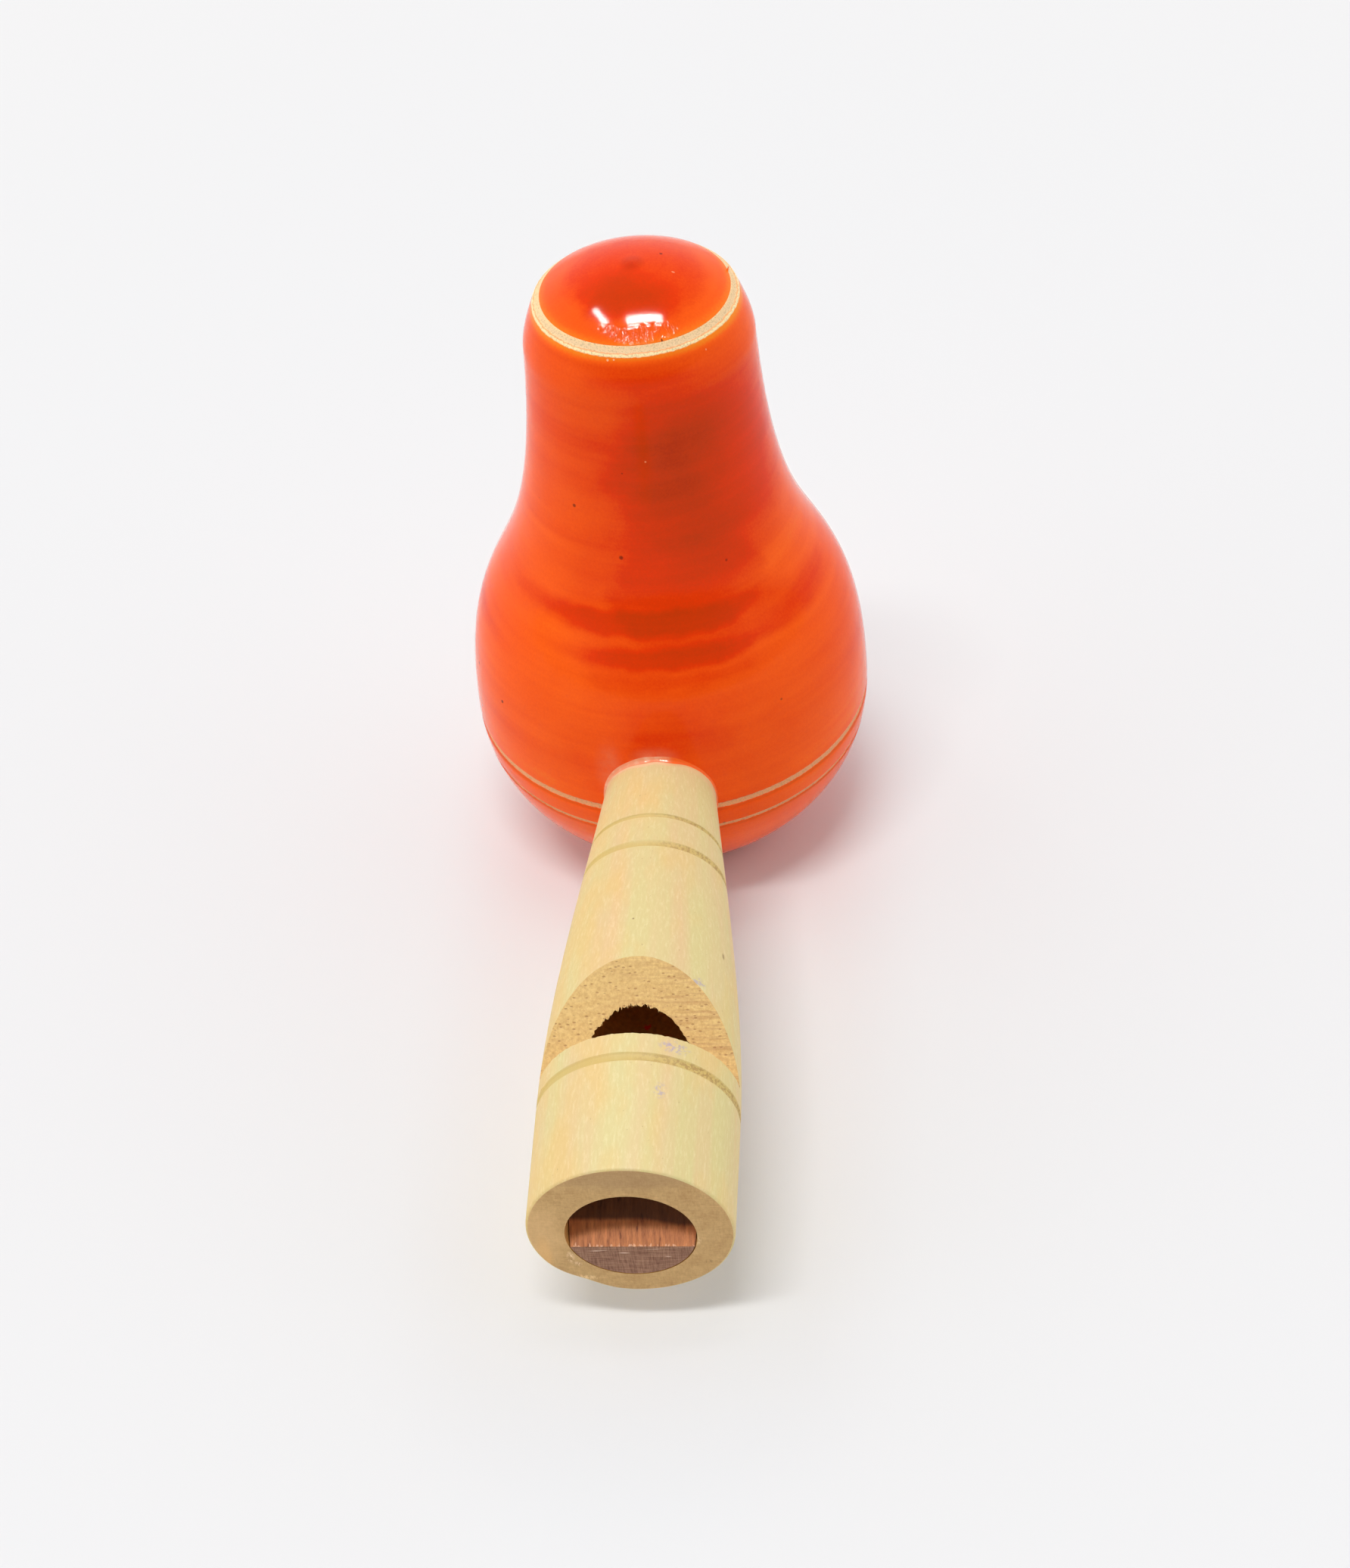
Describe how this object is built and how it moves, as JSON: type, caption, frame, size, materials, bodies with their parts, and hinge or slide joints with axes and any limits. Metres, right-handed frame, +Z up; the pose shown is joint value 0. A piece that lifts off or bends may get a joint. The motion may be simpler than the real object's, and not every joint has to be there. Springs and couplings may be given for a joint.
{
  "type": "bird whistle",
  "caption": "Turned wooden pear on a flat base, with a fipple whistle tube in its lower front that blows into a chamber inside the pear.",
  "frame": {"origin": "centre of the flat underside of the base, on the axis the pear was turned on", "axes": "+Z up through the head; the whistle tube points to -Y, its window upwards"},
  "size_m": [0.038, 0.0873, 0.0649],
  "materials": {
    "lacquered_wood": "gloss orange-red lacquer over turned wood, bare in the scribed lines",
    "pale_wood": "pale ivory wood, turned, unfinished",
    "dark_wood": "dark brown wood, sawn, unfinished"
  },
  "bodies": {
    "root": {"pear_body": "lacquered_wood", "head_cap": "lacquered_wood", "whistle_tube": "pale_wood", "fipple_block": "dark_wood"}
  },
  "joints": []
}
